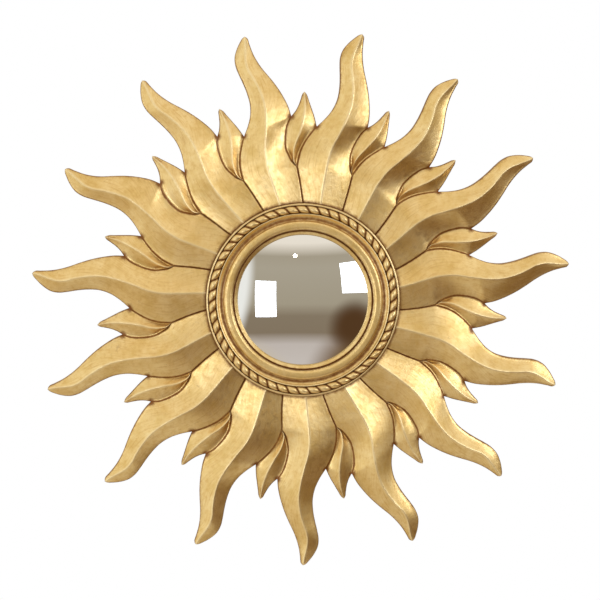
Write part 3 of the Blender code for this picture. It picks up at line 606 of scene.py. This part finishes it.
def mirror_silvering():
    """Silvered convex glass: a clean mirror, very slightly uneven from its bending."""
    made, tree, shader = new_material("silvered_convex_glass")
    shader.inputs["Base Color"].default_value = linear("#EDEDEB")
    shader.inputs["Metallic"].default_value = 1.0
    shader.inputs["Roughness"].default_value = 0.015
    place = add(tree, "ShaderNodeTexCoord").outputs["Object"]
    unevenness = mottle(tree, place, 60, 1)
    tree.links.new(bumped(tree, unevenness, 0.05 * MM, 0.15), shader.inputs["Normal"])
    return made


def hardboard():
    """Pressed hardboard behind the glass: matt brown, with fine pale fibres."""
    made, tree, shader = new_material("pressed_hardboard")
    place = add(tree, "ShaderNodeTexCoord").outputs["Object"]
    fibre = mottle(tree, place, 1.2, 8, 0.8, 2.0)
    brown = ramp(tree, fibre, (0.35, linear("#5E4026")), (0.7, linear("#8C6844")))
    colour = mixed(tree, mottle(tree, place, 25, 3), brown, linear("#755336"))
    tree.links.new(colour, shader.inputs["Base Color"])
    shader.inputs["Roughness"].default_value = 0.8
    tree.links.new(bumped(tree, fibre, 0.15 * MM, 0.6), shader.inputs["Normal"])
    return made


def zinc_plate():
    """Zinc-plated pressed steel: dull silver with a faint yellow, finely scratched."""
    made, tree, shader = new_material("zinc_plated_steel")
    place = add(tree, "ShaderNodeTexCoord").outputs["Object"]
    scratch = mottle(tree, stretched(tree, place, 0.05, 1, 1), 0.4, 3)
    colour = ramp(tree, scratch, (0.3, linear("#A9A798")), (0.7, linear("#C9C7BA")))
    tree.links.new(colour, shader.inputs["Base Color"])
    shader.inputs["Metallic"].default_value = 1.0
    tree.links.new(between(tree, scratch, 0, 1, 0.28, 0.45), shader.inputs["Roughness"])
    return made


def carving_mesh():
    """A new bmesh with the carving's own data: hollows, ridges, and a map along each ray."""
    bm = bmesh.new()
    bm.verts.layers.float.new("hollow")
    bm.verts.layers.float.new("crest")
    bm.loops.layers.uv.new("carving")
    return bm


def finish(name, bm, materials, slot, *nodes, sharp=math.radians(40)):
    """Make the mesh a piece that rides on the mirror and stands for its CAD nodes."""
    mesh = bpy.data.meshes.new(name)
    bm.to_mesh(mesh)
    bm.free()
    for material in materials:
        mesh.materials.append(material)
    mesh.shade_smooth()
    mesh.set_sharp_from_angle(angle=sharp)
    piece = bpy.data.objects.new(name, mesh)
    bpy.context.collection.objects.link(piece)
    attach(piece, "root")
    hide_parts(*nodes)
    return piece


def gilded_sunburst(gold, back):
    """The carved sunburst: rays welded along their valleys, cut edges, the ring's recess and a flat back."""
    bm = carving_mesh()
    for ray in range(RAY_COUNT):
        carved_ray = ray + FIRST_RAY_BEARING / PITCH
        long_ray(bm, carved_ray)
        short_ray(bm, carved_ray)
    bmesh.ops.remove_doubles(bm, verts=bm.verts, dist=0.02 * MM)
    bmesh.ops.dissolve_degenerate(bm, edges=bm.edges, dist=0.01 * MM)
    hollow = bm.verts.layers.float["hollow"]
    border = [edge for edge in bm.edges if edge.is_boundary]
    inner = [edge for edge in border
             if all(math.hypot(v.co.x, v.co.z) < RECESS_RADIUS + 0.05 * MM for v in edge.verts)]
    inner_set = set(inner)
    outer = [edge for edge in border if edge not in inner_set]
    lower_edge = drop_edges(bm, outer, CUT_EDGE_LINE)
    back_outline = drop_edges(bm, lower_edge, 0)
    for vertex in {vertex for edge in back_outline for vertex in edge.verts}:
        vertex[hollow] = BACK_EDGE_STAIN
    seat_edge = drop_edges(bm, inner, SEAT_HEIGHT)
    made = bmesh.ops.extrude_edge_only(bm, edges=seat_edge)["geom"]
    for vertex in (part for part in made if isinstance(part, bmesh.types.BMVert)):
        radius = math.hypot(vertex.co.x, vertex.co.z)
        vertex.co.x *= OPENING_RADIUS / radius
        vertex.co.z *= OPENING_RADIUS / radius
    opening_edge = [part for part in made if isinstance(part, bmesh.types.BMEdge) and all(
        math.hypot(v.co.x, v.co.z) < (OPENING_RADIUS + RECESS_RADIUS) / 2 for v in part.verts)]
    back_opening = drop_edges(bm, opening_edge, 0)
    loops = back_outline + back_opening + hanger_pocket(bm)
    filled = {part for part in bmesh.ops.triangle_fill(bm, use_beauty=True, edges=loops)["geom"]
              if isinstance(part, bmesh.types.BMFace)}
    for face in bm.faces:
        if face in filled or in_pocket(face):
            face.material_index = 1
    bmesh.ops.recalc_face_normals(bm, faces=bm.faces)
    return finish("gilded_sunburst", bm, (gold, back), "gilded_wood", "sunburst_frame")


def rounded(points, steps=4):
    """A section's (radius, height, rounding) corners as a line of points, with each corner rounded."""
    line = []
    for i, (x, y, rounding) in enumerate(points):
        here = np.array((x, y))
        before, after = (np.array(points[i - 1][:2]), np.array(points[(i + 1) % len(points)][:2]))
        if rounding == 0:
            line.append(tuple(here))
            continue
        start = here + (before - here) * min(rounding / np.linalg.norm(before - here), 0.5)
        end = here + (after - here) * min(rounding / np.linalg.norm(after - here), 0.5)
        for t in np.linspace(0, 1, steps + 1):
            line.append(tuple((1 - t) ** 2 * start + 2 * t * (1 - t) * here + t ** 2 * end))
    return line


def turn_section(bm, line, steps, closed=True):
    """Turn a section of (radius, height) points about the mirror's axis into a closed solid."""
    verts = [bm.verts.new((radius, -height, 0)) for radius, height in line]
    pairs = list(zip(verts, verts[1:])) + ([(verts[-1], verts[0])] if closed else [])
    edges = [bm.edges.new(pair) for pair in pairs]
    bmesh.ops.spin(bm, geom=verts + edges, cent=(0, 0, 0), axis=(0, 1, 0), angle=2 * math.pi,
                   steps=steps, use_merge=True)
    bmesh.ops.remove_doubles(bm, verts=bm.verts, dist=0.01 * MM)
    bmesh.ops.recalc_face_normals(bm, faces=bm.faces)


def ring_section():
    """The ring moulding's section, round from the rebate and over its members to the glass's lip."""
    rebate = GLASS_RADIUS + 2 * CLEARANCE
    foot = SEAT_HEIGHT + CLEARANCE
    under_lip = GLASS_EDGE_HEIGHT + 2 * CLEARANCE
    # Each corner is a radius, a height and how far from it its rounding begins
    seat = [(rebate, under_lip, 0), (rebate, foot, 0.3 * MM), (RING_RADIUS, foot, 0.3 * MM)]
    outer_lip = [(RING_RADIUS, OUTER_LIP_HEIGHT - 0.2 * MM, 1.4 * MM),
                 (LIP_INNER + 0.9 * MM, OUTER_LIP_HEIGHT + 0.5 * MM, 1.2 * MM)]
    rope_bed = [(LIP_INNER + 0.3 * MM, ROPE_BED_HEIGHT, 0.2 * MM),
                (ROPE_INNER - 0.3 * MM, ROPE_BED_HEIGHT, 0.2 * MM)]
    fillet = [(ROPE_INNER - 0.6 * MM, FILLET_HEIGHT + 0.4 * MM, 0.8 * MM),
              (ROPE_INNER - 2.0 * MM, FILLET_HEIGHT + 0.4 * MM, 0.8 * MM)]
    cove = [(ROPE_INNER - 3.6 * MM, COVE_HEIGHT + 1.2 * MM, 1.4 * MM),
            (FILLET_INNER - 0.4 * COVE_WIDTH, COVE_HEIGHT + 0.2 * MM, 1.8 * MM),
            (COVE_INNER - 0.4 * MM, COVE_HEIGHT + 0.9 * MM, 1.2 * MM)]
    corners = seat + outer_lip + rope_bed + fillet + cove
    round_part = []
    base = max(COVE_HEIGHT, QUIRK_HEIGHT)
    for turn in np.linspace(0.19, 0.93, 17) * math.pi:
        across = math.cos(turn)
        round_part.append(((COVE_INNER + ROUND_INNER) / 2 + ROUND_WIDTH / 2 * across,
                           base + (ROUND_HEIGHT - base) * math.sqrt(1 - across ** 4)))
    lip = [(LIP_OUTER + 0.6 * QUIRK_WIDTH, QUIRK_HEIGHT + 0.5 * MM, 0.4 * MM),
           (LIP_OUTER, SIGHT_LIP_HEIGHT + 0.2 * MM, 0.8 * MM),
           (SIGHT_RADIUS + 0.1 * MM, SIGHT_LIP_EDGE_HEIGHT + 0.6 * MM, 0.7 * MM),
           (SIGHT_RADIUS, under_lip, 0)]
    start = rounded(corners + [(*round_part[0], 0)], 6)[:-1]
    end = rounded([(*round_part[-1], 0)] + lip)[1:]
    return start + round_part + end


def rope(bm):
    """The twisted rope in the ring's bed: a grid laid round it, whose strands follow the true helix."""
    hollow = bm.verts.layers.float["hollow"]
    crest = bm.verts.layers.float["crest"]
    around_steps = RING_STRANDS * STRAND_STEPS
    middle = LIP_INNER - ROPE_WIDTH / 2
    rise = ROPE_HEIGHT - ROPE_BED_HEIGHT
    slant = STRAND_DRAW * ROPE_WIDTH / 2 / math.tan(STRAND_SLANT) / middle
    made = bmesh.ops.create_grid(bm, x_segments=around_steps, y_segments=ROPE_ACROSS_STEPS, size=0.5)["verts"]
    for vertex in made:
        around, across = round((vertex.co.x + 0.5) * around_steps), (vertex.co.y + 0.5) * 2 - 1
        lean = across * ROPE_WRAP
        strand = (around % STRAND_STEPS) / STRAND_STEPS
        bulge = (1 - abs(2 * strand - 1) ** 2) ** 0.75
        half_width = (ROPE_WIDTH / 2 + ROPE_SWELL) * (1 - STRAND_PINCH * (1 - bulge))
        radius = middle + half_width * math.sin(lean)
        groove = STRAND_GROOVE_DEPTH * (1 - bulge)
        height = ROPE_BED_HEIGHT + (rise - groove) * math.cos(lean)
        vertex.co = at(radius, 2 * math.pi * around / around_steps + across * slant, height)
        # Brown glaze with painted shade in the grooves and at the rope's sides, and a little glaze all over.
        vertex[hollow] = max(GROOVE_GLAZE_SHADE * (1 - bulge), ROPE_SIDE_GLAZE_SHADE * abs(across) ** 2.2, ROPE_STAIN)
        # Rubbed pale on the strands' crowns, with a painted highlight there.
        vertex[crest] = RUBBED_HIGHLIT_STRAND * bulge ** 6 * math.cos(lean) ** 2
    bmesh.ops.remove_doubles(bm, verts=made, dist=0.01 * MM)


def glaze_and_shade_ring(bm):
    """Brown glaze with painted shade in the ring's hollows: by the rope, in the cove and in the quirk, a
    painted shadow line round its foot, darker towards the seat; and two rubbed lines with a painted highlight.
    """
    hollow = bm.verts.layers.float["hollow"]
    crest = bm.verts.layers.float["crest"]
    for vertex in bm.verts:
        radius, height = math.hypot(vertex.co.x, vertex.co.z), -vertex.co.y
        crease_glaze_shades = [strength * faded(radius - place, reach) for place, reach, strength in RING_GLAZE_SHADES]
        low = 1 - eased((height - SEAT_HEIGHT) / (10 * MM))
        vertex[hollow] = max(*crease_glaze_shades, low)
        # Rubbed pale on the outer lip and the fillet, with a painted highlight on them.
        vertex[crest] = max(faded(radius - place, RUBBED_HIGHLIT_LINE_REACH) for place in RUBBED_HIGHLIT_RING_LINES)


def gilded_ring(gold):
    """The ring moulding with its twisted rope."""
    bm = carving_mesh()
    turn_section(bm, ring_section(), 4 * RING_STRANDS)
    glaze_and_shade_ring(bm)
    rope(bm)
    bmesh.ops.recalc_face_normals(bm, faces=bm.faces)
    return finish("gilded_rope_ring", bm, (gold,), "gilded_wood", "rope_ring")


def convex_glass(silvering):
    """The convex glass: a thin shell of even thickness, with a ground edge."""
    bm = bmesh.new()
    line = []
    for thickness, shares in ((0, np.linspace(0, 1, 37)), (GLASS_THICKNESS, np.linspace(1, 0, 13))):
        for share in shares:
            rise = (math.sqrt(GLASS_CURVE_RADIUS**2 - (GLASS_RADIUS * share) ** 2)
                    - math.sqrt(GLASS_CURVE_RADIUS**2 - GLASS_RADIUS**2))
            line.append((GLASS_RADIUS * share, GLASS_EDGE_HEIGHT + rise - thickness))
    turn_section(bm, line, 144, closed=False)
    return finish("convex_mirror_glass", bm, (silvering,), "silvered_glass", "mirror_glass")


def backing_board(board):
    """The round board behind the glass, with eased edges."""
    bm = bmesh.new()
    low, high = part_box("back_board")
    line = rounded([(0, -high.y, 0), (GLASS_RADIUS, -high.y, 0.8 * MM), (GLASS_RADIUS, -low.y, 0.4 * MM),
                    (0, -low.y, 0)])
    turn_section(bm, line, 96, closed=False)
    return finish("round_back_board", bm, (board,), "board_timber", "back_board")


def softbox(name, azimuth, elevation, distance, width, height, radiance, colour, shape="RECTANGLE"):
    """An area light facing the mirror's centre, by its direction from the mirror."""
    data = bpy.data.lights.new(name, "AREA")
    data.shape = shape
    data.size, data.size_y = width, height
    data.energy = radiance * math.pi * width * height
    data.color = linear(colour)[:3]
    lamp = bpy.data.objects.new(name, data)
    bpy.context.collection.objects.link(lamp)
    a, e = math.radians(azimuth), math.radians(elevation)
    away = Vector((math.sin(a) * math.cos(e), -math.cos(a) * math.cos(e), math.sin(e)))
    lamp.location = away * distance
    lamp.rotation_mode = "QUATERNION"
    lamp.rotation_quaternion = away.to_track_quat("Z", "Y")
    lamp.visible_camera = False


def studio_world():
    """Plain soft surroundings: white behind the mirror; round it a pale ceiling, a grey-beige wall, a darker
    band above a pale floor, and broad lights and darks at the sides that the tilted faces reflect."""
    world = bpy.data.worlds.new("studio")
    bpy.context.scene.world = world
    world.use_nodes = True
    tree = world.node_tree
    tree.nodes.clear()
    direction = add(tree, "ShaderNodeTexCoord").outputs["Generated"]
    up = add(tree, "ShaderNodeSeparateXYZ", {"Vector": direction}).outputs["Z"]
    levels = ((-90, "#7C6440"), (-58, "#A08C6A"), (-42, "#D2C9C2"), (-30, "#CBC1BA"), (-23, "#8C7D69"),
              (-13, "#8E806C"), (-6, "#ADA38F"), (15, "#B4AB99"), (22, "#B0A693"), (30, "#F7EEE0"),
              (90, "#F7F4EF"))
    stops = [((math.sin(math.radians(elevation)) + 1) / 2, linear(tint)) for elevation, tint in levels]
    colour = ramp(tree, computed(tree, "MULTIPLY_ADD", up, 0.5, 0.5), *stops)
    zones = (("left wall", -76, 6, 50, 43, "#FAFAF6"), ("below left", -46, -50, 30, 14, "#D4C8B4"),
             ("below", 10, -76, 34, 20, "#8A7048"), ("right below", 54, -42, 38, 16, "#73552E"),
             ("brown corner", 33, -18, 17, 4, "#583D25"), ("right above", 66, 34, 34, 16, "#FAF7F2"))
    for name, azimuth, elevation, outer, inner, tint in zones:
        a, e = math.radians(azimuth), math.radians(elevation)
        towards = (math.sin(a) * math.cos(e), -math.cos(a) * math.cos(e), math.sin(e))
        near = add(tree, "ShaderNodeVectorMath", {0: direction, 1: towards}, operation="DOT_PRODUCT",
                   label=name).outputs["Value"]
        inside = between(tree, near, math.cos(math.radians(outer)), math.cos(math.radians(inner)), soft=True)
        colour = mixed(tree, inside, colour, linear(tint))
    seen = add(tree, "ShaderNodeLightPath").outputs["Is Camera Ray"]
    around = add(tree, "ShaderNodeBackground", {"Color": colour, "Strength": 1.0})
    behind = add(tree, "ShaderNodeBackground", {"Color": (1, 1, 1, 1), "Strength": 1.0})
    shown = add(tree, "ShaderNodeMixShader", {0: seen, 1: around.outputs[0], 2: behind.outputs[0]})
    add(tree, "ShaderNodeOutputWorld", {"Surface": shown.outputs[0]})


def studio_floor():
    """A plain pale floor well below the mirror."""
    bm = bmesh.new()
    bmesh.ops.create_circle(bm, cap_ends=True, segments=96, radius=1.2,
                            matrix=Matrix.Translation((0, 0, -1.5)))
    mesh = bpy.data.meshes.new("floor")
    bm.to_mesh(mesh)
    bm.free()
    made, _, shader = new_material("pale_floor_paint")
    shader.inputs["Base Color"].default_value = linear("#D8D5D0")
    shader.inputs["Roughness"].default_value = 0.8
    mesh.materials.append(made)
    floor = bpy.data.objects.new("floor", mesh)
    bpy.context.collection.objects.link(floor)


def camera():
    """The photograph's view: nearly front on, from a little above and a little to the left."""
    data = bpy.data.cameras.new("camera")
    data.lens, data.sensor_width = 92.26, 36
    eye = bpy.data.objects.new("camera", data)
    bpy.context.collection.objects.link(eye)
    azimuth, elevation, distance = math.radians(-2.1), math.radians(4.0), 2.0
    eye.location = (distance * math.sin(azimuth) * math.cos(elevation),
                    -distance * math.cos(azimuth) * math.cos(elevation), distance * math.sin(elevation))
    aim = Vector((-3.1 * MM, 0, -1.4 * MM))
    eye.rotation_mode = "QUATERNION"
    eye.rotation_quaternion = (aim - eye.location).to_track_quat("-Z", "Y")
    bpy.context.scene.camera = eye


gold = gilding()
gilded_sunburst(gold, bare_back())
gilded_ring(gold)
convex_glass(mirror_silvering())
backing_board(hardboard())
steel = zinc_plate()
for node in ("hanger_plate", "hanger_screw_left", "hanger_screw_right"):
    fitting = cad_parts[node]
    fitting.data.materials.clear()
    fitting.data.materials.append(steel)

softbox("left_window", -21, -3, 2.5, 0.56, 0.95, 4.3, "#E6EFFF")
softbox("right_window", 41, 9.5, 2.5, 1.35, 0.80, 3.8, "#E6EFFF")
softbox("ceiling_light", -3, 23.5, 2.4, 0.09, 0.09, 14, "#FFF0DC", "ELLIPSE")
studio_world()
studio_floor()
camera()
bpy.context.scene.view_settings.view_transform = "Standard"
